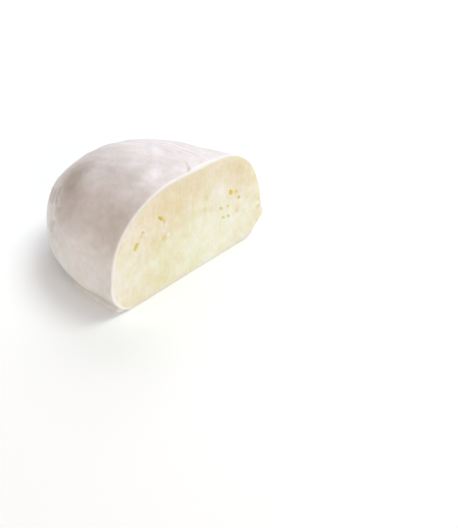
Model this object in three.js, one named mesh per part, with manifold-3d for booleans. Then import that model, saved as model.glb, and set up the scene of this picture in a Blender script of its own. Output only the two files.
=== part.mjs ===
// Mozzarella ball, cut open: the larger piece of a fresh ball of stretched curd, after slices were cut
// away. One soft solid, slumped on a flat foot, with a smooth skin and one upright cut face.
//
// Millimetres, +Z up. The origin is on the surface that the piece rests on, below the middle of its box.
// The cut face looks along -Y, and +X runs across it.

import * as THREE from 'three';
import { mergeVertices } from 'three/addons/utils/BufferGeometryUtils.js';
import Module from 'manifold-3d';

// The ball as it sits. Seen from above it is an oval, and the cut lies a little past its widest place.
const HALF_WIDTH = 45;
const OVAL_HALF_LENGTH = 74;
const CUT_PAST_WIDEST = 6;
const DEPTH = OVAL_HALF_LENGTH - CUT_PAST_WIDEST;
const HEIGHT = 44.5;
const BELLY_HEIGHT = 10; // level of the widest girth
const FOOT_SHARE = 0.78; // girth where the ball meets the surface, as a share of the widest
const BACK_END_SHIFT = 4.5; // how far the rounded end lies off the middle of the cut

// How full its curves are: 2 is an ellipse, more is squarer.
const PLAN_FULLNESS = 2.2;
const TOP_FULLNESS = 2.5;
const SHOULDER_FULLNESS = 3;
const UNDERSIDE_FULLNESS = 2;
const FOOT_FULLNESS = 1.2;

// The cut face: a soft rim, and low upright ridges of drawn fibres, wide ones and narrow ones together.
const RIM_RADIUS = 0.9;
const RIDGE_DEPTH = 0.35;
const WIDE_RIDGE_SPACING = 11.3;
const NARROW_RIDGE_SPACING = 6.7;
const RIDGE_WANDER = 1.8;
const RIDGE_WAVE_HEIGHT = 31;
const RIDGE_MARGIN = 4; // plain border inside the rim

// Places where the skin stands proud of the plain form, or lies below it where height is negative.
// x and z are across and up, and depth is the distance behind the cut.
const SWELLS = [
  { place: 'right shoulder of the rim', x: 29, depth: 0, z: 40, reach: 14, height: 0.4 },
  { place: 'sag in the top of the rim', x: 12, depth: 0, z: 44, reach: 13, height: -0.3 },
  { place: 'left shoulder of the rim', x: -15, depth: 0, z: 43, reach: 12, height: 0.4 },
  { place: 'left slope of the rim', x: -32, depth: 0, z: 38, reach: 10, height: -0.5 },
  { place: 'right side of the rim', x: 43, depth: 0, z: 24, reach: 10, height: -0.5 },
  { place: 'torn lip, low on the right', x: 44, depth: 0, z: 9, reach: 7, height: 0.9 },
  { place: 'slack skin beside the cut, low on the left', x: -44, depth: 8, z: 7, reach: 12, height: -0.8 },
  { place: 'dip behind the right shoulder', x: 29, depth: 15, z: 39, reach: 14, height: -0.8 },
  { place: 'right flank', x: 27, depth: 32, z: 37, reach: 14, height: 0.4 },
  { place: 'crown of the rounded end', x: 10, depth: 56, z: 34, reach: 14, height: 0.6 },
  { place: 'pleat on the left flank', x: -17, depth: 58, z: 22, reach: 6, height: 0.8 },
  { place: 'hollow above the pleat', x: -6, depth: 63, z: 25, reach: 10, height: -0.5 },
  { place: 'tip of the torn lip', x: 46, depth: 0, z: 8, reach: 2.6, height: 1.3 },
  { place: 'nub on the left of the rim', x: -45.2, depth: 0, z: 12.9, reach: 1.7, height: 0.8 },
  { place: 'low bulge of the left flank', x: -42, depth: 20, z: 6, reach: 9, height: 0.7 },
];
const SWELL_FOOT_FADE = 8; // below this level the swells die away, to none where the ball rests

// Eyes, the small gas holes on the cut face. lean turns an eye's long side away from level, in degrees.
const EYES = [
  { x: 25.7, z: 25.5, across: 2.6, tall: 2.2, deep: 1, lean: 0 },
  { x: 28.9, z: 24.7, across: 1.4, tall: 1.1, deep: 0.7, lean: 0 },
  { x: 30.8, z: 21.2, across: 1.7, tall: 1.3, deep: 0.7, lean: -20 },
  { x: 19.7, z: 20.6, across: 2.1, tall: 1.1, deep: 0.7, lean: 0 },
  { x: 23.8, z: 20, across: 1.4, tall: 1, deep: 0.6, lean: 0 },
  { x: 29.7, z: 15.5, across: 1.7, tall: 1.1, deep: 0.7, lean: 0 },
  { x: 20.8, z: 16, across: 2.2, tall: 1, deep: 0.7, lean: 0 },
  { x: 24.2, z: 15.2, across: 1.8, tall: 1.1, deep: 0.7, lean: -15 },
  { x: -16.4, z: 31.7, across: 4.2, tall: 1.2, deep: 1, lean: -49 },
  { x: -26.5, z: 29.8, across: 1.2, tall: 1, deep: 0.7, lean: 0 },
  { x: -30.7, z: 25.8, across: 4, tall: 1.7, deep: 1.1, lean: 48 },
  { x: -14.6, z: 21.8, across: 3, tall: 1.4, deep: 0.6, lean: 75 },
];
const EYE_SEGMENTS = 10;
const EYE_RINGS = 6;

// The surface is two nets of equal size, one on the cut face and one on the skin, sewn along the rim.
const NET_COLUMNS = 56;
const NET_ROWS = 36;
const RIM_CROWDING = 1.3; // above 1, the lines of the nets draw together towards the rim
const SEARCH_STEPS = 30;

const { sin, cos, abs, max, min, hypot, exp, sqrt, PI } = Math;
const clamp = THREE.MathUtils.clamp;

// Girth of the ball at a height, as a share of the widest.
function girth(z) {
  if (z >= BELLY_HEIGHT) {
    const rise = min((z - BELLY_HEIGHT) / (HEIGHT - BELLY_HEIGHT), 1);
    return (1 - rise ** TOP_FULLNESS) ** (1 / SHOULDER_FULLNESS);
  }
  const drop = (BELLY_HEIGHT - z) / BELLY_HEIGHT;
  return FOOT_SHARE + (1 - FOOT_SHARE) * (1 - drop ** UNDERSIDE_FULLNESS) ** (1 / FOOT_FULLNESS);
}

// True for a point in the plain form, without swells. depth is measured back from the cut.
function isInside(x, depth, z) {
  if (z < 0 || z > HEIGHT) return false;
  const share = max(girth(z), 1e-6);
  const middle = BACK_END_SHIFT * (depth / DEPTH) ** 2;
  const across = abs(x - middle) / (HALF_WIDTH * share);
  const along = (depth + CUT_PAST_WIDEST) / (OVAL_HALF_LENGTH * share);
  return across ** PLAN_FULLNESS + along ** PLAN_FULLNESS <= 1;
}

// Middle of the upright section at a depth. It moves to the tip of the rounded end.
function sectionMiddle(depth) {
  const share = depth / DEPTH;
  const x = BACK_END_SHIFT * share ** 2;
  const z = THREE.MathUtils.lerp(HEIGHT / 2, BELLY_HEIGHT, share ** 3);
  return { x, z };
}

// Moves a point of the skin out or in by the swells near it, square to the depth, and returns it.
function swollen(point, outX, outZ) {
  let height = 0;
  for (const swell of SWELLS) {
    const distance = hypot(point.x - swell.x, point.y - swell.depth, point.z - swell.z);
    height += swell.height * exp(-((distance / swell.reach) ** 2));
  }
  height *= THREE.MathUtils.smoothstep(point.z, 0, SWELL_FOOT_FADE);
  return new THREE.Vector3(point.x + height * outX, point.y, point.z + height * outZ);
}

// Point of the skin at a depth, in the direction that turn gives round the section's middle.
function skinPoint(turn, depth) {
  const middle = sectionMiddle(depth);
  const stepX = HALF_WIDTH * cos(turn);
  const stepZ = (HEIGHT / 2) * sin(turn);
  let near = 0;
  let far = 2;
  for (let step = 0; step < SEARCH_STEPS; step += 1) {
    const half = (near + far) / 2;
    if (isInside(middle.x + half * stepX, depth, middle.z + half * stepZ)) near = half;
    else far = half;
  }
  const length = hypot(stepX, stepZ);
  const z = max(middle.z + near * stepZ, 0);
  const point = new THREE.Vector3(middle.x + near * stepX, depth, z);
  return swollen(point, stepX / length, stepZ / length);
}

// How far the cut face lies behind its foremost plane, inset being the distance in from the rim.
function faceRelief(x, z, inset) {
  const wander = RIDGE_WANDER * sin((2 * PI * z) / RIDGE_WAVE_HEIGHT);
  const wide = cos((2 * PI * (x + wander)) / WIDE_RIDGE_SPACING);
  const narrow = cos((2 * PI * (x - wander)) / NARROW_RIDGE_SPACING);
  const ridge = (2 - wide - narrow) / 4;
  const fade = clamp(inset / RIDGE_MARGIN, 0, 1);
  const out = max(RIM_RADIUS - inset, 0);
  return RIDGE_DEPTH * ridge * fade + RIM_RADIUS - sqrt(RIM_RADIUS ** 2 - out ** 2);
}

// Point of the cut face, share being 0 at its middle and 1 at the rim.
function facePoint(turn, share) {
  const middle = sectionMiddle(0);
  const rim = skinPoint(turn, 0);
  const x = THREE.MathUtils.lerp(middle.x, rim.x, share);
  const z = THREE.MathUtils.lerp(middle.z, rim.z, share);
  const inset = hypot(rim.x - x, rim.z - z);
  return new THREE.Vector3(x, faceRelief(x, z, inset), z);
}

// Place of a net's crossing on a round disc: its turn, and its share of the way out to the edge.
function discPlace(column, row) {
  const s = (2 * column) / NET_COLUMNS - 1;
  const t = (2 * row) / NET_ROWS - 1;
  const u = s * sqrt(1 - (t * t) / 2);
  const v = t * sqrt(1 - (s * s) / 2);
  const inset = 1 - min(hypot(u, v), 1);
  return { turn: Math.atan2(v, u), inset: inset ** RIM_CROWDING };
}

// The two nets as one closed body, before the eyes are cut.
function bodyGeometry() {
  const positions = [];
  const indices = [];
  const rowLength = NET_COLUMNS + 1;
  const skinStart = rowLength * (NET_ROWS + 1);
  const nets = [
    ({ turn, inset }) => facePoint(turn, 1 - inset),
    ({ turn, inset }) => skinPoint(turn, RIM_RADIUS + (DEPTH - RIM_RADIUS) * sin((inset * PI) / 2)),
  ];
  for (const place of nets) {
    for (let row = 0; row <= NET_ROWS; row += 1) {
      for (let column = 0; column <= NET_COLUMNS; column += 1) {
        positions.push(...place(discPlace(column, row)).toArray());
      }
    }
  }
  const isEdge = (column, row) =>
    column === 0 || row === 0 || column === NET_COLUMNS || row === NET_ROWS;
  const crossing = (net, column, row) => {
    const own = row * rowLength + column;
    return net === 0 || isEdge(column, row) ? own : skinStart + own;
  };
  for (let net = 0; net < nets.length; net += 1) {
    for (let row = 0; row < NET_ROWS; row += 1) {
      for (let column = 0; column < NET_COLUMNS; column += 1) {
        const a = crossing(net, column, row);
        const b = crossing(net, column + 1, row);
        const c = crossing(net, column + 1, row + 1);
        const d = crossing(net, column, row + 1);
        // The diagonal points to the middle of the net, so that no corner cell lies flat on the rim.
        const rising = (column < NET_COLUMNS / 2) === (row < NET_ROWS / 2);
        const faces = rising ? [a, b, c, a, c, d] : [a, b, d, b, c, d];
        if (net === 1) faces.reverse();
        indices.push(...faces);
      }
    }
  }
  const geometry = new THREE.BufferGeometry();
  geometry.setAttribute('position', new THREE.Float32BufferAttribute(positions, 3));
  geometry.setIndex(indices);
  return geometry;
}

// The gas hole that one eye leaves in the cut face.
function eyeGeometry(eye) {
  const geometry = new THREE.SphereGeometry(1, EYE_SEGMENTS, EYE_RINGS);
  geometry.scale(eye.across / 2, eye.deep, eye.tall / 2);
  geometry.rotateY(THREE.MathUtils.degToRad(-eye.lean));
  geometry.translate(eye.x, 0, eye.z);
  return geometry;
}

// A closed geometry as a solid that can be cut.
function toSolid(wasm, geometry) {
  const bare = geometry.clone();
  bare.deleteAttribute('normal');
  bare.deleteAttribute('uv');
  const merged = mergeVertices(bare, 1e-4);
  const vertProperties = new Float32Array(merged.attributes.position.array);
  const triVerts = new Uint32Array(merged.index.array);
  return new wasm.Manifold(new wasm.Mesh({ numProp: 3, vertProperties, triVerts }));
}

// A solid as a geometry again.
function toGeometry(solid) {
  const { vertProperties, triVerts, numProp } = solid.getMesh();
  const geometry = new THREE.BufferGeometry();
  geometry.setAttribute('position', new THREE.BufferAttribute(vertProperties, numProp));
  geometry.setIndex(new THREE.BufferAttribute(triVerts, 1));
  geometry.computeVertexNormals();
  return geometry;
}

const wasm = await Module();
wasm.setup();

let cheese = toSolid(wasm, bodyGeometry());
for (const eye of EYES) {
  cheese = cheese.subtract(toSolid(wasm, eyeGeometry(eye)));
}

const geometry = toGeometry(cheese);
geometry.computeBoundingBox();
const middle = geometry.boundingBox.getCenter(new THREE.Vector3());
geometry.translate(-middle.x, -middle.y, 0);

const curd = new THREE.MeshStandardMaterial({ color: 0xf4eee0, roughness: 0.42, metalness: 0 });
const ball = new THREE.Mesh(geometry, curd);
ball.name = 'mozzarella_ball';

const part = new THREE.Group();
part.add(ball);

export default part;
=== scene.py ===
"""Mozzarella ball, cut open: a moist white skin round a cream cut face with fibres and gas holes.

One fine closed mesh stands for the CAD solid. It follows the same form from the same named sizes, and
adds the low relief of a fresh stretched curd: fibres, eyes, stretch lines, dents, a fold and a torn lip.
A thin bead of whey lies under the overhang of the belly. Shapes are worked out in millimetres: x across
the cut, depth behind it, z up. They turn into metres where a mesh is made.
"""

import math

import bpy
import numpy as np
from mathutils import Euler, Matrix, Vector, noise


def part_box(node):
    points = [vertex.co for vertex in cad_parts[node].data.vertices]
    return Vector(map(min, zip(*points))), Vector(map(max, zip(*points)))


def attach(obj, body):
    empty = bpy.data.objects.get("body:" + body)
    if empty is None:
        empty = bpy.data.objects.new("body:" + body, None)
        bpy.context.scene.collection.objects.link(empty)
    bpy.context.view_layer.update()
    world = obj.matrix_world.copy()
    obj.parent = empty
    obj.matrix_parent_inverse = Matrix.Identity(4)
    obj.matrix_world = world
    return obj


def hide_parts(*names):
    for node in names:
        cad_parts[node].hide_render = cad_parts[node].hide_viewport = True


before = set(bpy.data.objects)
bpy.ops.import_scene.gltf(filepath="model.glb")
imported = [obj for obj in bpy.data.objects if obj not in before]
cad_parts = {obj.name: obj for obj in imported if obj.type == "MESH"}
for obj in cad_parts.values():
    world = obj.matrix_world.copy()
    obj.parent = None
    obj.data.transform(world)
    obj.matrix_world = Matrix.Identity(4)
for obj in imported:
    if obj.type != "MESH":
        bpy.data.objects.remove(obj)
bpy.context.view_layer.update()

MM = 0.001

# ---------------------------------------------------------------- form, as in the CAD solid
# A fit to the photo proposed most of these proportions and most heights in SWELLS. They were
# then rounded, and some were changed.
HALF_WIDTH = 45.0
OVAL_HALF_LENGTH = 74.0
CUT_PAST_WIDEST = 6.0
DEPTH = OVAL_HALF_LENGTH - CUT_PAST_WIDEST
HEIGHT = 44.5
BELLY_HEIGHT = 10.0
FOOT_SHARE = 0.78
BACK_END_SHIFT = 4.5
PLAN_FULLNESS = 2.2
TOP_FULLNESS = 2.5
SHOULDER_FULLNESS = 3.0
UNDERSIDE_FULLNESS = 2.0
FOOT_FULLNESS = 1.2
RIM_RADIUS = 0.9
RIDGE_DEPTH = 0.35
WIDE_RIDGE_SPACING = 11.3
NARROW_RIDGE_SPACING = 6.7
RIDGE_WANDER = 1.8
RIDGE_WAVE_HEIGHT = 31.0

# Places where the skin stands proud or lies low: x, depth, z, reach, height.
SWELLS = [
    # round the cut
    (29, 0, 40, 14, 0.4),
    (12, 0, 44, 13, -0.3),
    (-15, 0, 43, 12, 0.4),
    (-32, 0, 38, 10, -0.5),
    (43, 0, 24, 10, -0.5),
    (44, 0, 9, 7, 0.9),
    (-44, 8, 7, 12, -0.8),
    # on the crown and the rounded end
    (29, 15, 39, 14, -0.8),
    (27, 32, 37, 14, 0.4),
    (10, 56, 34, 14, 0.6),
    (-17, 58, 22, 6, 0.8),
    (-6, 63, 25, 10, -0.5),
    # the torn lip, the nub of the left rim, and the belly at the left
    (46, 0, 8, 2.6, 1.3),
    (-45.2, 0, 12.9, 1.7, 0.8),
    (-42, 20, 6, 9, 0.7),
]
# The CAD solid is centred on its own box, whose middle lies here.
CAD_MIDDLE = (0.631, 34.0, 0.0)

# ---------------------------------------------------------------- form that only the mesh has
# Finer swells: x, depth, z, reach, height.
SMALL_SWELLS = [
    # notches of the torn lip
    (45.8, 0, 4.9, 1.0, -0.4),
    (46.0, 0, 11.1, 1.1, -0.5),
    (45.4, 0, 14.6, 0.9, -0.3),
    # waves and dents of the left shoulder
    (-18, 32, 40.5, 8, 0.25),
    (-15, 12, 43.7, 8, 0.2),
    (-22.7, 19, 41.3, 6, -0.35),
    (-24, 46, 31.5, 6, -0.5),
    # the lobe of the fold, and the hollow beside it
    (-22.2, 54.4, 26, 3, 0.3),
    (-27, 50, 24, 8, -0.65),
    # the dent behind the hooked mark
    (2, 11, 44.2, 2.6, -0.12),
]
SWELL_FOOT_FADE = 8.0

# Eyes, the gas holes: x, z, across, tall, deep, lean in degrees, and how golden the eye is.
EYES = [
    # the group at the right
    (25.9, 25.3, 2.9, 2.0, 0.7, -59, 1.0),
    (29.2, 24.3, 1.9, 1.4, 0.4, -20, 0.52),
    (30.8, 21.2, 1.8, 1.4, 0.5, -25, 0.66),
    (19.7, 20.6, 2.6, 1.3, 0.55, -32, 0.43),
    (23.8, 20.0, 1.9, 1.1, 0.4, -30, 0.4),
    (29.9, 15.4, 1.9, 1.3, 0.25, -20, 0.12),
    (20.8, 16.0, 2.8, 1.2, 0.5, -25, 0.48),
    (24.2, 15.2, 2.2, 1.2, 0.5, -32, 0.42),
    (18.9, 23.2, 1.1, 1.6, 0.2, 0, 0.2),
    # faint ones in the middle
    (9.7, 24.1, 1.2, 2.6, 0.2, 10, 0.2),
    (-5.2, 28.6, 1.2, 3.0, 0.2, 0, 0.25),
    # at the left: the slit and its tail, two nicks, the long eye, and two faint ones
    (-15.9, 31.4, 3.9, 1.2, 1.2, -40, 0.75),
    (-14.5, 29.5, 1.9, 1.0, 0.6, 70, 0.45),
    (-26.5, 29.8, 1.5, 1.2, 0.8, 0, 0.5),
    (-27.7, 28.6, 1.0, 0.9, 0.5, 0, 0.3),
    (-30.4, 25.3, 3.6, 2.0, 0.9, 52, 0.7),
    (-14.6, 21.8, 3.4, 1.8, 0.4, 75, 0.3),
    (-21.8, 23.1, 1.6, 1.4, 0.3, 0, 0.3),
    # nicks along the torn lip
    (43.3, 15.5, 1.3, 1.6, 0.4, 0, 0.2),
    (43.4, 11.7, 1.8, 1.3, 0.5, 20, 0.35),
    (44.0, 8.6, 1.2, 1.0, 0.4, 0, 0.15),
    (42.4, 5.6, 1.4, 0.9, 0.4, 30, 0.3),
]
EYE_REACH = 1.1
EYE_GOLD_RANGE = (0.0, 0.75)

# White flecks of curd that stand proud of the cut face, their white partly a painted glint: x, z, across,
# height.
FLECKS = [
    (-12.5, 22.9, 1.5, 0.35),
    (-13.6, 27.5, 1.2, 0.2),
    (-24.6, 28.2, 1.3, 0.2),
    (-25.7, 31.2, 1.0, 0.15),
    (42.6, 13.6, 1.3, 0.3),
    (44.6, 10.2, 1.2, 0.3),
    (24.5, 29.2, 1.3, 0.15),
    (31.2, 12.8, 1.2, 0.15),
]
FLECK_WHITENESS_AND_GLINT = 3.0

# Lines on the skin: points (x, depth, z), then half width, height and painted light. Painted light over 0
# is painted shade, in brown, in grooves, dents and behind the lobe; under 0 it is a milky painted highlight.
SKIN_LINES_AND_PAINTED_LIGHT = [
    # the fold's lit edge, in three stretches, with a painted highlight
    (
        [(-21, 51.5, 29.5), (-21.3, 52.3, 28.3), (-22.6, 52.2, 27), (-24, 51.6, 26), (-24.9, 51.3, 24.7)],
        (0.6, 0.5, -1.2),
    ),
    (
        [(-24.9, 51.3, 24.7), (-25.9, 50.8, 23.4), (-28, 48.8, 22.3), (-31, 45.4, 19.6), (-33, 44, 17)],
        (0.6, 0.3, -0.8),
    ),
    ([(-33, 44, 17), (-34.6, 42.2, 14.5), (-36.5, 39.8, 12)], (0.7, 0.25, -0.5)),
    # the groove beside it, and the shade behind its lobe, both with painted shade
    ([(-22.3, 48.5, 30.8), (-23.8, 48.2, 29.4), (-25.3, 47.3, 28), (-27.1, 45.8, 27.5)], (0.8, -0.4, 0.25)),
    ([(-18.8, 56.2, 26.6), (-19.9, 55.8, 25.8), (-21.1, 55.1, 25.4), (-22.4, 54.3, 24.4)], (0.9, -0.3, 0.4)),
    # dents and bumps in front of the fold, with painted shade in the dents and painted highlights on the
    # bumps
    ([(-30.3, 42.2, 27.3), (-30.7, 40, 28.3), (-30.9, 38.6, 29.3)], (1.0, -0.35, 0.25)),
    ([(-29, 43, 28.8), (-29.7, 41.5, 29.4)], (0.7, 0.28, -0.8)),
    ([(-30.6, 44.2, 24.3), (-31.6, 42.8, 24)], (0.9, 0.3, -0.8)),
    ([(-32.3, 42.4, 22.3), (-32.7, 42, 21.4), (-33.2, 42.3, 18.8)], (0.6, -0.25, 0.35)),
    ([(-33, 37.9, 27), (-34.6, 36.4, 25.2), (-35.8, 35.3, 23.4)], (0.5, -0.1, 0.1)),
    # the small hooked crease by the cut with its painted shadow line, and the swelling beside it with a
    # painted highlight
    (
        [(5.9, 7, 44.2), (4.8, 5.5, 44.3), (3.6, 4, 44.3), (2.2, 2.6, 44.4), (0.8, 1.3, 44.4)],
        (0.42, -0.14, 0.42),
    ),
    ([(9, 9, 43.9), (6.5, 4.5, 44.1), (4, 1.5, 44.2)], (1.8, 0.14, -0.3)),
    # creases that run back from the cut, with painted highlights on their ridges and faint painted shade in
    # their grooves
    ([(14.7, 40, 40.2), (14.6, 20, 43), (11.6, 1.5, 43.9)], (0.5, 0.08, -0.5)),
    ([(17.8, 36, 40.4), (16.6, 18, 43), (13.8, 3, 43.7)], (0.6, 0.1, -0.7)),
    ([(16.2, 30, 41.6), (14.9, 14, 43.3), (12.8, 3, 43.8)], (0.4, -0.05, 0.05)),
    ([(20.3, 34, 40), (19, 18, 42.5), (16.8, 4, 43.3)], (0.5, -0.05, 0.05)),
    ([(10.4, 24, 43), (9.4, 12, 43.9)], (0.5, -0.05, 0)),
]
# How far a painted highlight along a line turns the skin milky.
PAINTED_HIGHLIGHT_MILKINESS = 0.5

# Layers of smooth noise: sizes of the humps along x, depth and z, seed, height.
FIBRES = [((1.1, 1, 6), 3.0, 0.05), ((0.7, 1, 2.0), 17.0, 0.03)]
LUMPS = [((5, 1, 4.5), 29.0, 0.14), ((2.6, 1, 2.1), 31.0, 0.11)]
SKIN_WAVES = [((8, 11, 8), 41.0, 0.22), ((4, 4, 3.5), 53.0, 0.1)]
STRETCH_LINES = [((1.3, 10, 1.3), 61.0, 0.012)]
# The same for where the curd is stringy, where the skin is streaky, and how ragged eyes and flecks are.
STRINGY = [((11, 1, 13), 71.0, 1.0)]
STRINGY_RANGE = (-0.4, 0.6)
STREAKY = [((16, 30, 16), 5.0, 1.0)]
STREAKY_RANGE = (-0.2, 0.8)
STREAKY_LEAST = 0.2
RAGGED = [((0.9, 1, 0.9), 7.0, 0.2)]

# The face lies a little behind its rim, and its relief starts inside the rim.
RIM_STEP = 0.2
RIM_STEP_RANGE = (0.7, 1.6)
FACE_SINK = 0.14
FACE_RELIEF_RANGE = (0.5, 3.5)
# The relief of the skin starts over the foot and behind the rim.
SKIN_FOOT_FADE = 4.0
SKIN_RIM_FADE = 1.5

# A place on the rim is given by its turn in radians: 0 at the right, half of pi at the top.
# The rows change a value round the rim: turn, reach, amount.
RIM_SOFTNESS = 0.55
RIM_SOFTER = [(1.25, 0.35, 0.2)]
# The rim's white is partly the skin's own white edge and partly a painted highlight where the edge catches
# the light.
RIM_CREAMIER = [(0.8, 0.32, -0.95), (0.1, 0.4, -0.6), (2.75, 0.7, -0.25)]
FACE_WHITE_WIDTH = 0.12
FACE_WHITE_WIDER = [(1.3, 0.3, 0.2), (-2.4, 0.25, 0.5)]
FACE_WHITE_FADE = 0.55
FACE_WHITE_SOFTER = [(math.pi, 0.5, 1.2), (-math.pi, 0.6, 1.2)]
SKIN_WHITE_WIDTH = 0.05
SKIN_WHITE_WIDER = [(1.25, 0.32, 0.8)]
SKIN_WHITE_FADE = 0.6
# A grey ring on the face by the upper left rim is painted shade where the face rounds over into the rim.
RIM_PAINTED_SHADE = [(2.1, 0.8, 0.6)]
RIM_PAINTED_SHADE_RANGE = (0.3, 5.0)

# ---------------------------------------------------------------- tones, partly painted shade and light
# The ripeness, beige and thinness spots aren't made by hand. A program fitted them to the photo and printed
# the rows, which were then merged and rounded. STAINS was placed one by one.

# Where the curd is riper, so deeper yellow, or paler: x, z, reach, amount.
RIPE_BASE = 0.53
RIPENESS = [
    # riper
    (-16, 6, 5, 0.25),
    (-12, 35, 11, 0.2),
    (5, 43, 7, 0.1),
    (19, 10, 5, 0.15),
    (32, 34, 8, 0.2),
    # paler
    (-43, 14, 9, -0.4),
    (-33, 10, 5, -0.15),
    (-35, 32, 7, -0.15),
    (-17, 29, 5, -0.15),
    (-18, 43, 5, -0.25),
    (16, 12, 11, -0.25),
    (20, 29, 5, -0.4),
    (37, 13, 11, -0.15),
]

# Where the curd is more or less beige, and so darker or lighter, partly its own colour and partly painted
# shade and light: x, z, reach, amount.
BEIGE_BASE = 0.49
BEIGE_AND_PAINTED_LIGHT = [
    # more, in the upper half of the cut, partly painted shade
    (-36, 34, 6, 0.2),
    (-18, 41, 13, 0.35),
    (-12, 29, 8, 0.1),
    (-5, 40, 14, 0.3),
    (3, 42, 8, 0.35),
    (15, 42, 14, 0.25),
    (32, 32, 9, 0.5),
    # more, lower down at the left
    (-43, 21, 9, 0.1),
    (-24, 21, 6, 0.25),
    (-20, 6, 6, 0.2),
    # less, from the middle down, partly painted light
    (-37, 23, 6, -0.2),
    (-34, 15, 6, -0.15),
    (-20, 13, 8, -0.35),
    (10, 10, 15, -0.7),
    (20, 26, 6, -0.25),
    (22, 10, 9, -0.3),
    (38, 12, 9, -0.25),
]

# Small stains in the curd and one patch of painted shade: x, z, reach, how much riper and how much more
# beige.
STAINS = [
    (-15, 22.5, 1.4, 0.5, 0.4),
    (-20.5, 23, 1.7, 0.4, 0.3),
    (-18.5, 19, 2.2, 0.3, 0.3),
    # a greyish darker patch above the slit, painted shade
    (-12.5, 33.5, 2.2, 0.1, 0.5),
    (-6, 30.5, 1.4, 0.4, 0.3),
    (9, 24, 1.2, 0.4, 0.1),
    (10.5, 29, 1.4, 0.4, 0.3),
    (13.5, 22.5, 1.3, 0.1, 0.5),
    (29.9, 15.5, 1.1, 0.4, 0.9),
]

# Where the skin is greyer or milky, partly its own thin, wet and milky patches and partly painted shade and
# painted light: x, depth, z, reach, amount.
THIN_BASE = 0.38
THINNESS_AND_PAINTED_LIGHT = [
    # thin, partly painted shade: the left shoulder, the rounded end and places on the crown
    (-22, 44, 34, 8, 0.75),
    (-17, 44, 37, 4, 0.2),
    (-23, 33, 38, 12, 0.2),
    (-32, 8, 38, 8, 0.25),
    (-38, 2, 32, 8, 0.15),
    (-32, 45, 14, 8, 0.15),
    (-12, 52, 34, 8, 0.35),
    (-7, 32, 42, 5, 0.15),
    (-19, 22, 42, 8, 0.15),
    (22, 19, 42, 12, 0.25),
    (2, 10, 44, 3, 0.2),
    # milky, partly painted light: the crown, places on the shoulder, the left flank and the fold
    (6, 36, 42, 12, -0.85),
    (1, 23, 44, 8, -0.15),
    (-20, 5, 43, 8, -0.15),
    (-18, 34, 40, 5, -0.35),
    (-22, 27, 40, 5, -0.35),
    (-40, 11, 30, 5, -0.2),
    (-40, 24, 21, 12, -0.3),
    (-39, 31, 10, 6, -0.15),
    (-23, 55, 22, 12, -0.7),
    (-18, 54, 29, 8, -0.35),
]

SKIN_MILKY = (0.93, 0.945, 0.95)
# The grey of thin skin, which also serves as painted shade.
SKIN_THIN_AND_SHADE = (0.60, 0.59, 0.535)
SKIN_ROSY = (1.0, 0.975, 0.99)
SKIN_GREENISH = (0.985, 1.0, 0.985)
SKIN_PAINTED_SHADE = (0.46, 0.39, 0.30)
SKIN_SLANT = 0.88
RIM_WHITE_AND_HIGHLIGHT = (0.95, 0.985, 1.0)
CREAM_PALE = (0.922, 0.99, 0.92)
CREAM_DEEP = (0.797, 0.85, 0.51)
CREAM_PAINTED_SHADE = (0.75, 0.80, 0.70)
# The beige tint also darkens the curd, partly as painted shade.
BEIGE_AND_SHADE_TINT = (0.976, 0.848, 0.824)
EYE_OLIVE = (0.80, 0.78, 0.22)
EYE_GOLD = (0.83, 0.65, 0.035)
WHEY_CLEAR = (0.97, 1.0, 1.0)
WHEY_CLOUDY = (0.95, 0.99, 0.98)
WHEY_IOR = 1.34

# ---------------------------------------------------------------- the whey film
# Its outer edge on the floor, from the back to the cut: x, depth.
WHEY_EDGE = [
    (-29, 44.5),
    (-30, 42.1),
    (-31.4, 38.4),
    (-33.4, 34.2),
    (-35.1, 30.4),
    (-36.3, 27.3),
    (-37, 23.9),
    (-38.2, 18.7),
    (-38.8, 14.9),
    (-39.2, 11.1),
    (-39.8, 6.6),
    (-40.1, 3.2),
    (-40, 1.2),
]
# Its section, from the edge up over the bead to the skin and down again: how far in, how high.
WHEY_SECTION = [
    (-0.3, 0.0),
    (-0.3, 0.3),
    (-0.15, 0.6),
    (0.15, 0.85),
    (0.6, 1.08),
    (1.2, 1.34),
    (1.9, 1.65),
    (2.5, 2.05),
    (3.3, 2.7),
    (4.5, 3.9),
    (4.5, 0.0),
]
WHEY_STEPS = 160
# Over what share of its length each end of the film thins out, and how far it is tucked in there.
WHEY_BACK_RANGE = (-0.01, 0.35)
WHEY_BACK_TUCK = 4.0
WHEY_FRONT_RANGE = (-0.004, 0.04)
WHEY_FRONT_TUCK = 1.5
# Waves along the film: size, rate, start.
WHEY_EDGE_WAVES = [(0.08, 44, 0)]
WHEY_HEIGHT_WAVES = [(0.05, 31, 0), (0.03, 73, 1)]
WHEY_INNER_SIDE = (0, 20)
CURVE_STEPS = 40

# ---------------------------------------------------------------- mesh and noise
NET_COLUMNS = 300
NET_ROWS = 165
RIM_CROWDING = 1.1
SEARCH_STEPS = 26
SEARCH_REACH = 2.0
NOISE_TURN = (0.7, 0.5, 0.9)
NOISE_GAIN = 1.6


def smoothstep(value, low, high):
    """0 up to low, 1 from high on, and a soft rise between them."""
    t = np.clip((value - low) / (high - low), 0.0, 1.0)
    return t * t * (3.0 - 2.0 * t)


def humps(points, sizes, seed):
    """Smooth noise, about -1 to 1, with humps of the given sizes along x, depth and z."""
    askew = np.array(Euler(NOISE_TURN).to_matrix())
    places = (points.reshape(-1, 3) / np.array(sizes)) @ askew.T + seed
    values = [noise.noise(Vector(place)) for place in places]
    return np.array(values).reshape(points.shape[:-1]) * NOISE_GAIN


def relief(points, layers):
    """Sum of layers of smooth noise."""
    return sum(height * humps(points, sizes, seed) for sizes, seed, height in layers)


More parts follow.
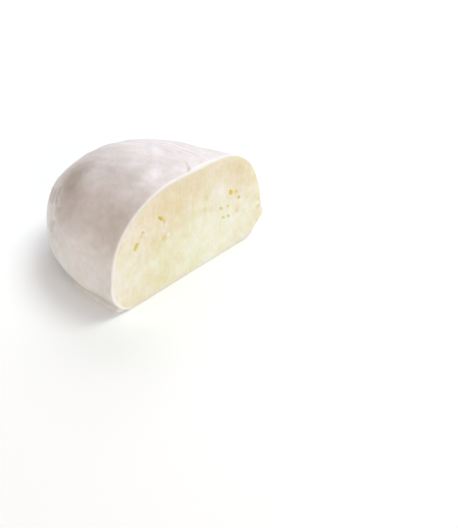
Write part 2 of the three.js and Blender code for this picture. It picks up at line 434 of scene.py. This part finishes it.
def spots(points, table):
    """Sum of soft round spots: each row of the table is a centre, a reach and an amount."""
    total = np.zeros(points.shape[:-1])
    for *centre, reach, amount in table:
        total += amount * np.exp(-((points - centre) ** 2).sum(axis=-1) / reach**2)
    return total


def round_rim(turn, base, table):
    """A value round the rim: a base, and soft changes in rows of turn, reach and amount."""
    return base + sum(amount * np.exp(-(((turn - middle) / reach) ** 2)) for middle, reach, amount in table)


def waves(along, table):
    """Sum of sine waves in rows of size, rate and start."""
    return sum(size * np.sin(along * rate + start) for size, rate, start in table)


# ---------------------------------------------------------------- the form of the cheese
def girth(z):
    """How full the form is at a height: 1 at the belly, less above and below it."""
    rise = np.clip((z - BELLY_HEIGHT) / (HEIGHT - BELLY_HEIGHT), 0.0, 1.0)
    drop = np.clip((BELLY_HEIGHT - z) / BELLY_HEIGHT, 0.0, 1.0)
    above = (1.0 - rise**TOP_FULLNESS) ** (1.0 / SHOULDER_FULLNESS)
    below = FOOT_SHARE + (1.0 - FOOT_SHARE) * (1.0 - drop**UNDERSIDE_FULLNESS) ** (1.0 / FOOT_FULLNESS)
    return np.where(z >= BELLY_HEIGHT, above, below)


def is_inside(x, depth, z):
    """Whether a point lies in the plain form, which has no swells."""
    share = np.maximum(girth(z), 1e-6)
    middle = BACK_END_SHIFT * (depth / DEPTH) ** 2
    across = np.abs(x - middle) / (HALF_WIDTH * share)
    along = (depth + CUT_PAST_WIDEST) / (OVAL_HALF_LENGTH * share)
    return (z >= 0) & (z <= HEIGHT) & (across**PLAN_FULLNESS + along**PLAN_FULLNESS <= 1.0)


def section_middle(depth):
    """The middle, x and z, of the section at a depth. It sinks towards the rounded end."""
    share = depth / DEPTH
    return BACK_END_SHIFT * share**2, HEIGHT / 2 + (BELLY_HEIGHT - HEIGHT / 2) * share**3


def skin_points(turn, depth):
    """Points on the skin, found by halving along lines from the section's middle, with the swells."""
    middle_x, middle_z = section_middle(depth)
    step_x = HALF_WIDTH * np.cos(turn)
    step_z = HEIGHT / 2 * np.sin(turn)
    near = np.zeros_like(turn)
    far = near + SEARCH_REACH
    for _ in range(SEARCH_STEPS):
        half = (near + far) / 2
        inside = is_inside(middle_x + half * step_x, depth, middle_z + half * step_z)
        near = np.where(inside, half, near)
        far = np.where(inside, far, half)
    x = middle_x + near * step_x
    z = np.maximum(middle_z + near * step_z, 0.0)
    height = spots(np.stack([x, depth, z], axis=-1), SWELLS + SMALL_SWELLS)
    height *= smoothstep(z, 0.0, SWELL_FOOT_FADE)
    length = np.hypot(step_x, step_z)
    return np.stack([x + height * step_x / length, depth, z + height * step_z / length], axis=-1)


def disc_places():
    """A net over a disc: the turn of each point, and its inset, from 0 at the edge to 1 in the middle."""
    s = np.linspace(-1.0, 1.0, NET_COLUMNS + 1)[None, :]
    t = np.linspace(-1.0, 1.0, NET_ROWS + 1)[:, None]
    u = s * np.sqrt(1.0 - t * t / 2)
    v = t * np.sqrt(1.0 - s * s / 2)
    inset = 1.0 - np.minimum(np.hypot(u, v), 1.0)
    return np.arctan2(v, u), inset**RIM_CROWDING


def distance_to_path(points, path):
    """Distance of each point from a line of straight stretches."""
    nearest = np.full(points.shape[:-1], np.inf)
    for start, end in zip(path[:-1], path[1:]):
        start, way = np.array(start, float), np.array(end, float) - np.array(start, float)
        along = np.clip(((points - start) @ way) / (way @ way), 0.0, 1.0)
        gap = np.linalg.norm(points - start - along[..., None] * way, axis=-1)
        nearest = np.minimum(nearest, gap)
    return nearest


def rim_radius(turn):
    """The skin bends over the cut more softly along the top."""
    return RIM_RADIUS * round_rim(turn, RIM_SOFTNESS, RIM_SOFTER)


def rim_share(turn):
    """How white the rim is, partly its own white and partly a painted highlight. Round the right shoulder
    the cream reaches the edge.
    """
    return round_rim(turn, 1, RIM_CREAMIER)


# ---------------------------------------------------------------- the cut face
def ridges(x, z):
    """Low upright ridges, as on the CAD solid."""
    wander = RIDGE_WANDER * np.sin(2 * math.pi * z / RIDGE_WAVE_HEIGHT)
    wide = np.cos(2 * math.pi * (x + wander) / WIDE_RIDGE_SPACING)
    narrow = np.cos(2 * math.pi * (x - wander) / NARROW_RIDGE_SPACING)
    return RIDGE_DEPTH * (2 - wide - narrow) / 4


def face_relief(turn, inset, flat):
    """How far the face lies behind the plane of the cut, before its eyes and flecks."""
    radius = rim_radius(turn)
    bend = radius - np.sqrt(radius**2 - np.maximum(radius - inset, 0.0) ** 2)
    stringy = smoothstep(relief(flat, STRINGY), *STRINGY_RANGE)
    uneven = ridges(flat[..., 0], flat[..., 2]) + relief(flat, FIBRES) * stringy + relief(flat, LUMPS)
    step = RIM_STEP * smoothstep(inset, *RIM_STEP_RANGE)
    return bend + (uneven + FACE_SINK) * smoothstep(inset, *FACE_RELIEF_RANGE) + step


def eyes(x, z, ragged):
    """How deep the eyes are, and how golden."""
    eye_depth, gold = np.zeros_like(x), np.zeros_like(x)
    for at_x, at_z, across, tall, deep, lean, golden in EYES:
        c, s = math.cos(math.radians(lean)), math.sin(math.radians(lean))
        along = ((x - at_x) * c + (z - at_z) * s) / (across / 2)
        over = ((z - at_z) * c - (x - at_x) * s) / (tall / 2)
        hollow = np.sqrt(np.clip(EYE_REACH - (along**2 + over**2) * ragged, 0, 1))
        eye_depth = np.maximum(eye_depth, deep * hollow)
        gold = np.maximum(gold, golden * smoothstep(hollow, *EYE_GOLD_RANGE))
    return eye_depth, gold


def flecks(x, z, ragged):
    """How far the flecks stand out, and how white they are, which is partly a painted glint."""
    height, white = np.zeros_like(x), np.zeros_like(x)
    for at_x, at_z, across, rise in FLECKS:
        fleck = np.exp(-((((x - at_x) ** 2 + (z - at_z) ** 2) * ragged) / (across / 2) ** 2))
        height += rise * fleck
        white = np.maximum(white, min(1.0, FLECK_WHITENESS_AND_GLINT * rise) * fleck)
    return height, white


def face_net(turn, inset_share):
    """The cut face, and what its colour depends on: gold, ripeness, beige with painted shade and light, the
    grey ring of painted shade, and the white rim with its painted highlight and glints.
    """
    rim = skin_points(turn, np.zeros_like(turn))
    middle_x, middle_z = section_middle(0.0)
    x = middle_x + (rim[..., 0] - middle_x) * (1 - inset_share)
    z = middle_z + (rim[..., 2] - middle_z) * (1 - inset_share)
    inset = np.hypot(rim[..., 0] - x, rim[..., 2] - z)
    flat = np.stack([x, np.zeros_like(x), z], axis=-1)
    ragged = 1 + relief(flat, RAGGED)
    eye_depth, gold = eyes(x, z, ragged)
    fleck_height, fleck_white_and_glint = flecks(x, z, ragged)
    behind = face_relief(turn, inset, flat) - fleck_height

    # The white at the rim on the face is partly the skin's own white edge and partly a painted highlight.
    white_width = round_rim(turn, FACE_WHITE_WIDTH, FACE_WHITE_WIDER)
    white_fade = round_rim(turn, FACE_WHITE_FADE, FACE_WHITE_SOFTER)
    rim_white_and_highlight = (1 - smoothstep(inset, white_width, white_width + white_fade)) * rim_share(turn)
    across_up = np.stack([x, z], axis=-1)
    stains = np.array(STAINS)
    colours = {
        "gold": gold,
        # painted shade along the upper left rim, where the face rounds over
        "ring": (1 - smoothstep(inset, *RIM_PAINTED_SHADE_RANGE)) * round_rim(turn, 0, RIM_PAINTED_SHADE),
        "ripe": RIPE_BASE + spots(across_up, RIPENESS) + spots(across_up, stains[:, [0, 1, 2, 3]]),
        "beige": BEIGE_BASE + spots(across_up, BEIGE_AND_PAINTED_LIGHT) + spots(across_up, stains[:, [0, 1, 2, 4]]),
        # the flecks' white, partly a painted glint, joins the rim's white
        "rim": np.maximum(rim_white_and_highlight, fleck_white_and_glint),
    }
    return np.stack([x, np.maximum(behind, 0) + eye_depth, z], axis=-1), colours


# ---------------------------------------------------------------- the skin
def outward_normals(points):
    """Normals of a net of points, turned away from a place inside the cheese."""
    normals = np.cross(np.gradient(points, axis=0), np.gradient(points, axis=1))
    normals /= np.maximum(np.linalg.norm(normals, axis=-1, keepdims=True), 1e-9)
    outward = points - np.array([0, DEPTH / 3, HEIGHT / 3])
    return normals * np.sign((normals * outward).sum(axis=-1, keepdims=True))


def skin_net(turn, inset_share):
    """The skin, and what its colour depends on: painted shade in grooves and dents, how thin it is with
    painted shade and light, and the white rim with its painted highlight.
    """
    radius = rim_radius(turn)
    depth = radius + (DEPTH - radius) * np.sin(inset_share * math.pi / 2)
    points = skin_points(turn, depth)
    normals = outward_normals(points)

    side_on = 1 - normals[..., 1] ** 2
    streaky = smoothstep(relief(points, STREAKY), *STREAKY_RANGE)
    stretch = side_on * (STREAKY_LEAST + (1 - STREAKY_LEAST) * streaky)
    height = relief(points, SKIN_WAVES) + relief(points, STRETCH_LINES) * stretch
    brown = np.zeros_like(height)
    # How thin the skin is, with painted shade and painted light in it.
    thin = THIN_BASE + spots(points, THINNESS_AND_PAINTED_LIGHT)
    # A line adds relief, painted shade in brown where its painted light is over 0, and a milky painted
    # highlight where it is under 0.
    for path, (half_width, size, painted_light) in SKIN_LINES_AND_PAINTED_LIGHT:
        line = np.exp(-((distance_to_path(points, path) / half_width) ** 2))
        height += size * line
        brown = np.maximum(brown, painted_light * line)
        thin += min(painted_light, 0) * line * PAINTED_HIGHLIGHT_MILKINESS
    height *= smoothstep(points[..., 2], 0.0, SKIN_FOOT_FADE)
    height *= smoothstep(depth, radius, radius + SKIN_RIM_FADE)

    # The white at the rim on the skin side is partly its own white edge and partly a painted highlight.
    white_width = round_rim(turn, SKIN_WHITE_WIDTH, SKIN_WHITE_WIDER)
    rim_white_and_highlight = 1 - smoothstep(depth - radius, white_width, white_width + SKIN_WHITE_FADE)
    colours = {"brown": brown, "thin": thin, "rim": rim_white_and_highlight * rim_share(turn)}
    return points + normals * height[..., None], colours


# ---------------------------------------------------------------- meshes
def into_frame(points):
    """From the form's millimetres to the part's metres, kept inside the CAD box."""
    low, high = (np.array(corner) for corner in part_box("mozzarella_ball"))
    return np.clip((points - np.array(CAD_MIDDLE)) * MM, low, high)


def sewn_mesh(name, nets):
    """One closed mesh from two nets of equal size that share their edge points."""
    rows, columns = NET_ROWS + 1, NET_COLUMNS + 1
    own = np.arange(rows * columns).reshape(rows, columns)
    other = own + rows * columns
    for edge in (np.s_[0, :], np.s_[-1, :], np.s_[:, 0], np.s_[:, -1]):
        other[edge] = own[edge]
    quads = []
    for net, flip in ((own, False), (other, True)):
        corners = [net[:-1, :-1], net[:-1, 1:], net[1:, 1:], net[1:, :-1]]
        if flip:
            corners.reverse()
        quads.append(np.stack(corners, axis=-1).reshape(-1, 4))
    quads = np.concatenate(quads)
    points = np.concatenate([net.reshape(-1, 3) for net in nets])
    used = np.unique(quads)
    index = np.full(len(points), -1)
    index[used] = np.arange(len(used))
    mesh = bpy.data.meshes.new(name)
    mesh.from_pydata(into_frame(points[used]).tolist(), [], index[quads].tolist())
    mesh.polygons.foreach_set("material_index", np.repeat([0, 1], len(quads) // 2))
    mesh.shade_smooth()
    return mesh, used


def give_attribute(mesh, name, values):
    """Stores a value at each point, for the materials to read."""
    stored = mesh.attributes.new(name, "FLOAT", "POINT")
    stored.data.foreach_set("value", values.astype(np.float32))


def cheese_mesh():
    """The cut face and the skin as one closed mesh, with what their colours depend on."""
    turn, inset_share = disc_places()
    face, face_colours = face_net(turn, inset_share)
    skin, skin_colours = skin_net(turn, inset_share)
    mesh, used = sewn_mesh("cheese", (face, skin))
    none = np.zeros_like(turn)
    for name in sorted({*face_colours, *skin_colours}):
        both = [colours.get(name, none).ravel() for colours in (face_colours, skin_colours)]
        give_attribute(mesh, name, np.concatenate(both)[used])
    mesh.materials.append(curd_material())
    mesh.materials.append(skin_material())
    return mesh


def smooth_curve(corners, count):
    """Points at even steps along a soft curve through the corners."""
    corners = np.array(corners, float)
    before, after = corners[:1] * 2 - corners[1:2], corners[-1:] * 2 - corners[-2:-1]
    ends = np.concatenate([before, corners, after])
    places = []
    for a, b, c, d in zip(ends[:-3], ends[1:-2], ends[2:-1], ends[3:]):
        t = np.linspace(0, 1, CURVE_STEPS, endpoint=False)[:, None]
        bend = 2 * a - 5 * b + 4 * c - d
        twist = 3 * b - a - 3 * c + d
        places.append(0.5 * (2 * b + (c - a) * t + bend * t**2 + twist * t**3))
    places = np.concatenate(places + [corners[-1:]])
    length = np.concatenate([[0], np.cumsum(np.linalg.norm(np.diff(places, axis=0), axis=1))])
    steps = np.linspace(0, length[-1], count)
    return np.stack([np.interp(steps, length, places[:, i]) for i in range(2)], axis=-1)


def whey_mesh():
    """A closed bead on the floor that climbs the skin, and is thinner and tucked in at both ends."""
    outer = smooth_curve(WHEY_EDGE, WHEY_STEPS)
    along = np.linspace(0, 1, WHEY_STEPS)
    back_end = smoothstep(along, *WHEY_BACK_RANGE)
    front_end = smoothstep(1 - along, *WHEY_FRONT_RANGE)
    way = np.gradient(outer, axis=0)
    inward = np.stack([-way[:, 1], way[:, 0]], axis=-1)
    inward /= np.linalg.norm(inward, axis=1, keepdims=True)
    inward *= np.sign((inward * (np.array(WHEY_INNER_SIDE) - outer)).sum(axis=1, keepdims=True))
    tuck = WHEY_BACK_TUCK * (1 - back_end) + WHEY_FRONT_TUCK * (1 - front_end)
    tuck += waves(along, WHEY_EDGE_WAVES)
    swell = np.sqrt(back_end * front_end) * (1 + waves(along, WHEY_HEIGHT_WAVES))
    rings = []
    for inset_mm, rise in WHEY_SECTION:
        flat = outer + inward * (inset_mm + tuck)[:, None]
        rings.append(np.column_stack([flat, rise * swell]))
    rings = np.stack(rings, axis=1)
    count, sides = rings.shape[:2]
    faces = []
    for i in range(count - 1):
        for j in range(sides):
            k = (j + 1) % sides
            faces.append((i * sides + j, (i + 1) * sides + j, (i + 1) * sides + k, i * sides + k))
    faces.append(tuple(range(sides)))
    faces.append(tuple((count - 1) * sides + j for j in reversed(range(sides))))
    mesh = bpy.data.meshes.new("whey_film")
    mesh.from_pydata(into_frame(rings.reshape(-1, 3)).tolist(), [], faces)
    mesh.shade_smooth()
    mesh.materials.append(whey_material())
    return mesh


# ---------------------------------------------------------------- shader nodes
def connect(tree, node, inputs):
    """Gives each named input of a node a value or another node's output."""
    for key, value in dict(inputs).items():
        if isinstance(value, bpy.types.NodeSocket):
            tree.links.new(value, node.inputs[key])
        else:
            node.inputs[key].default_value = value


def add(tree, kind, inputs=(), **settings):
    """Adds a node with its settings and inputs."""
    node = tree.nodes.new(kind)
    for key, value in settings.items():
        setattr(node, key, value)
    connect(tree, node, inputs)
    return node


def shader_nodes(name):
    """A new material, its tree and its shader."""
    material = bpy.data.materials.new(name)
    material.use_nodes = True
    tree = material.node_tree
    return material, tree, tree.nodes["Principled BSDF"]


def millimetres(tree):
    """The place on the piece, in mm."""
    coords = add(tree, "ShaderNodeTexCoord").outputs["Object"]
    return add(tree, "ShaderNodeVectorMath", {0: coords, "Scale": 1 / MM}, operation="SCALE").outputs[0]


def attribute(tree, name):
    """A value that is stored at the points of the mesh."""
    return add(tree, "ShaderNodeAttribute", attribute_name=name).outputs["Fac"]


def spread(tree, value, low, high, to_low=0.0, to_high=1.0):
    """Maps low to to_low and high to to_high, and goes no further."""
    inputs = {"Value": value, "From Min": low, "From Max": high, "To Min": to_low, "To Max": to_high}
    return add(tree, "ShaderNodeMapRange", inputs).outputs[0]


def patches(tree, place, sizes, detail=3.0, roughness=0.55, low=0.35, high=0.65):
    """Noise from 0 to 1 with patches of the given sizes in mm along x, y and z."""
    scaled = add(tree, "ShaderNodeVectorMath", {0: place, 1: sizes}, operation="DIVIDE").outputs[0]
    askew = {"Vector": scaled, "Rotation": NOISE_TURN}
    turned = add(tree, "ShaderNodeVectorRotate", askew, rotation_type="EULER_XYZ").outputs[0]
    grain = {"Vector": turned, "Scale": 1.0, "Detail": detail, "Roughness": roughness}
    return spread(tree, add(tree, "ShaderNodeTexNoise", grain).outputs[0], low, high)


def varied(tree, value, clouds):
    """Adds clouds of noise to a value, each from minus its reach to plus its reach."""
    for cloud, reach in clouds:
        swing = spread(tree, cloud, 0, 1, -reach, reach)
        value = add(tree, "ShaderNodeMath", {0: value, 1: swing}, operation="ADD").outputs[0]
    return value


def blend(tree, share, first, second, kind="MIX"):
    """Mixes two colours, each a triple or an output. A share of 0 gives the first, 1 the second."""
    first, second = (c if isinstance(c, bpy.types.NodeSocket) else (*c, 1) for c in (first, second))
    inputs = {0: share, 6: first, 7: second}
    return add(tree, "ShaderNodeMix", inputs, data_type="RGBA", blend_type=kind).outputs[2]


def bump(tree, height, distance_mm, under=None):
    """Fine relief in the shading alone, over the relief under it."""
    inputs = {"Height": height, "Strength": 1.0, "Distance": distance_mm * MM}
    if under is not None:
        inputs["Normal"] = under
    return add(tree, "ShaderNodeBump", inputs).outputs[0]


# ---------------------------------------------------------------- materials
def skin_material():
    """Milky, greyer where it is thin and where shade is painted, with painted shade in grooves and dents and
    a white rim with a painted highlight.
    """
    material, tree, shader = shader_nodes("moist skin")
    place = millimetres(tree)
    slant = {"Vector": place, "Angle": SKIN_SLANT}
    slanted = add(tree, "ShaderNodeVectorRotate", slant, rotation_type="Z_AXIS").outputs[0]
    broad = patches(tree, slanted, (6, 10.5, 6), detail=1.5)
    small = patches(tree, slanted, (2.0, 4.0, 2.2), detail=1.5)
    streaks = patches(tree, place, (1, 9, 1), detail=2.0)
    hue = patches(tree, place, (8, 10, 8), detail=1.0)
    wet = patches(tree, place, (7, 11, 7))
    grain = patches(tree, place, (0.5, 0.8, 0.5), detail=2.0, low=0.2, high=0.8)
    # thin is partly the skin's own thin and milky patches and partly painted shade and painted light
    thin = varied(tree, attribute(tree, "thin"), ((broad, 0.09), (small, 0.065), (streaks, 0.01)))
    colour = blend(tree, thin, SKIN_MILKY, SKIN_THIN_AND_SHADE)
    colour = blend(tree, 1.0, colour, blend(tree, hue, SKIN_ROSY, SKIN_GREENISH), "MULTIPLY")
    # painted shade, in brown, along grooves, dents and behind the lobe
    colour = blend(tree, attribute(tree, "brown"), colour, SKIN_PAINTED_SHADE)
    # the white rim, partly its own white and partly a painted highlight
    colour = blend(tree, attribute(tree, "rim"), colour, RIM_WHITE_AND_HIGHLIGHT)
    looks = {
        "Base Color": colour,
        "Roughness": spread(tree, wet, 0, 1, 0.34, 0.5),
        "Normal": bump(tree, small, 0.03, bump(tree, grain, 0.015)),
        "Subsurface Weight": 0.35,
        "Subsurface Radius": (1.0, 0.8, 0.6),
        "Subsurface Scale": 2.5 * MM,
        "Coat Weight": 0.12,
        "Coat Roughness": 0.22,
    }
    connect(tree, shader, looks)
    return material


def curd_material():
    """Cream, riper and more beige in patches, partly painted shade and light, with golden eyes, a grey ring
    of painted shade and a white rim with a painted highlight.
    """
    material, tree, shader = shader_nodes("cut curd")
    place = millimetres(tree)
    broad = patches(tree, place, (6, 4, 5))
    blush = patches(tree, place, (4.5, 4, 3.5))
    fibres = patches(tree, place, (1.0, 2, 4.6))
    crumbs = patches(tree, place, (1.9, 1.2, 1.3))
    fine = patches(tree, place, (0.35, 0.6, 0.7), detail=2.0, low=0.2, high=0.8)
    ripe = varied(tree, attribute(tree, "ripe"), ((broad, 0.16), (fibres, 0.12), (crumbs, 0.13)))
    # beige is partly the curd's colour and partly painted shade in the upper half and painted light lower
    # down
    beige = varied(tree, attribute(tree, "beige"), ((blush, 0.23),))
    gold = attribute(tree, "gold")
    colour = blend(tree, ripe, CREAM_PALE, CREAM_DEEP)
    colour = blend(tree, beige, colour, BEIGE_AND_SHADE_TINT, "MULTIPLY")
    # painted shade along the upper left rim, where the face rounds over
    colour = blend(tree, attribute(tree, "ring"), colour, CREAM_PAINTED_SHADE)
    colour = blend(tree, spread(tree, gold, 0, 0.6), colour, EYE_OLIVE)
    colour = blend(tree, spread(tree, gold, 0.55, 0.95), colour, EYE_GOLD)
    # the white rim and flecks, partly their own white and partly a painted highlight and painted glints
    colour = blend(tree, attribute(tree, "rim"), colour, RIM_WHITE_AND_HIGHLIGHT)
    looks = {
        "Base Color": colour,
        "Roughness": spread(tree, crumbs, 0, 1, 0.3, 0.55),
        "Normal": bump(tree, fibres, 0.02, bump(tree, crumbs, 0.05, bump(tree, fine, 0.03))),
        "Subsurface Weight": 0.4,
        "Subsurface Radius": (1.0, 0.8, 0.5),
        "Subsurface Scale": 2.5 * MM,
        "Coat Weight": 0.15,
        "Coat Roughness": 0.18,
    }
    connect(tree, shader, looks)
    return material


def whey_material():
    """Pale, slightly cloudy and glossy."""
    material, tree, shader = shader_nodes("whey")
    cloud = patches(tree, millimetres(tree), (3, 4, 3))
    looks = {
        "Base Color": blend(tree, cloud, WHEY_CLEAR, WHEY_CLOUDY),
        "Roughness": spread(tree, cloud, 0, 1, 0.06, 0.14),
        "IOR": WHEY_IOR,
        "Coat Weight": 0.4,
        "Coat Roughness": 0.1,
    }
    connect(tree, shader, looks)
    return material


# ---------------------------------------------------------------- the pieces
def put(name, data):
    """A new object in the scene, with the mesh, camera or light that is given."""
    thing = bpy.data.objects.new(name, data)
    bpy.context.scene.collection.objects.link(thing)
    return thing


cheese = put("cheese", cheese_mesh())
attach(cheese, "root")
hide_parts("mozzarella_ball")

film = put("whey_film", whey_mesh())
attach(film, "root")

# ---------------------------------------------------------------- camera: mm and degrees
# Solved from the photo's outlines, together with the form.
AIM = (9.02, -45.75, 3.93)
AZIMUTH = -50.66
ELEVATION = 31.0
DISTANCE = 589.2
LENS = 101.3
SENSOR_HEIGHT = 36
CLIP_START = 10


def way_to(azimuth, elevation):
    """Direction from the part: azimuth 0 is in front of the cut face, 90 is to its right."""
    a, e = math.radians(azimuth), math.radians(elevation)
    return Vector((math.sin(a) * math.cos(e), -math.cos(a) * math.cos(e), math.sin(e)))


camera_data = bpy.data.cameras.new("camera")
camera_data.sensor_fit = "VERTICAL"
camera_data.sensor_height = SENSOR_HEIGHT
camera_data.lens = LENS
camera_data.clip_start = CLIP_START * MM
back = way_to(AZIMUTH, ELEVATION)
right = Vector((0, 0, 1)).cross(back).normalized()
place = Matrix((right, back.cross(right), back)).transposed().to_4x4()
place.translation = (Vector(AIM) + DISTANCE * back) * MM
camera = put("camera", camera_data)
camera.matrix_world = place
bpy.context.scene.camera = camera

# ---------------------------------------------------------------- floor and light: metres and degrees
FLOOR_HALF_SIDE = 3
FLOOR_DROP = 0.0001
FLOOR_GREY = (0.91, 0.91, 0.91, 1)
FLOOR_ROUGHNESS = 0.9
# The floor glows faintly, a painted light, and less so near the cheese, a painted contact shadow: reach,
# range of openness, range of strength.
GLOW_COLOUR = (0.70, 0.95, 1.0, 1)
GLOW_REACH = 0.02
GLOW_OPENNESS = (0.3, 0.75)
GLOW_STRENGTH = (0.08, 0.295)
# A fit to the photo proposed the world's colour and the lights, which were then rounded.
WORLD_COLOUR = (1.0, 0.556, 0.52, 1)
WORLD_STRENGTH = 0.252
# Lights: name, azimuth, elevation, watts, colour.
LIGHTS = [
    ("top", 60, 61, 7.1, (0.91, 1.0, 0.98)),
    ("back", 120, 38, 4.1, (0.90, 0.92, 1.0)),
    ("right", 120, 15, 2.0, (0.86, 0.89, 1.0)),
    ("front", -30, 15, 4.6, (1.0, 0.84, 0.75)),
    ("left", -120, 15, 1.7, (0.95, 1.0, 0.71)),
]
LIGHT_SIZE = 0.65
LIGHT_DISTANCE = 1.2
LIGHT_AIM = (0, 0, 0.02)


def floor_material():
    """Pale and matt, with a painted glow that is dimmed near the cheese as a painted contact shadow."""
    material, tree, shader = shader_nodes("floor")
    openness = add(tree, "ShaderNodeAmbientOcclusion", {"Distance": GLOW_REACH}).outputs["AO"]
    looks = {
        "Base Color": FLOOR_GREY,
        "Roughness": FLOOR_ROUGHNESS,
        "Emission Color": GLOW_COLOUR,
        "Emission Strength": spread(tree, openness, *GLOW_OPENNESS, *GLOW_STRENGTH),
    }
    connect(tree, shader, looks)
    return material


def floor_square():
    """A flat square round the origin."""
    side = FLOOR_HALF_SIDE
    corners = [(-side, -side, 0), (side, -side, 0), (side, side, 0), (-side, side, 0)]
    mesh = bpy.data.meshes.new("floor")
    mesh.from_pydata(corners, [], [(0, 1, 2, 3)])
    mesh.materials.append(floor_material())
    return mesh


def area_light(name, azimuth, elevation, watts, colour):
    """A round soft light that shines at the cheese."""
    data = bpy.data.lights.new(name, "AREA")
    data.shape = "DISK"
    data.size = LIGHT_SIZE
    data.energy = watts
    data.color = colour
    light = put(name, data)
    way = way_to(azimuth, elevation)
    light.location = way * LIGHT_DISTANCE + Vector(LIGHT_AIM)
    light.rotation_euler = way.to_track_quat("Z", "Y").to_euler()


floor = put("floor", floor_square())
floor.location.z = -FLOOR_DROP

world = bpy.data.worlds.new("world")
world.use_nodes = True
sky = {"Color": WORLD_COLOUR, "Strength": WORLD_STRENGTH}
connect(world.node_tree, world.node_tree.nodes["Background"], sky)
bpy.context.scene.world = world

for light_row in LIGHTS:
    area_light(*light_row)
bpy.context.scene.view_settings.view_transform = "Standard"
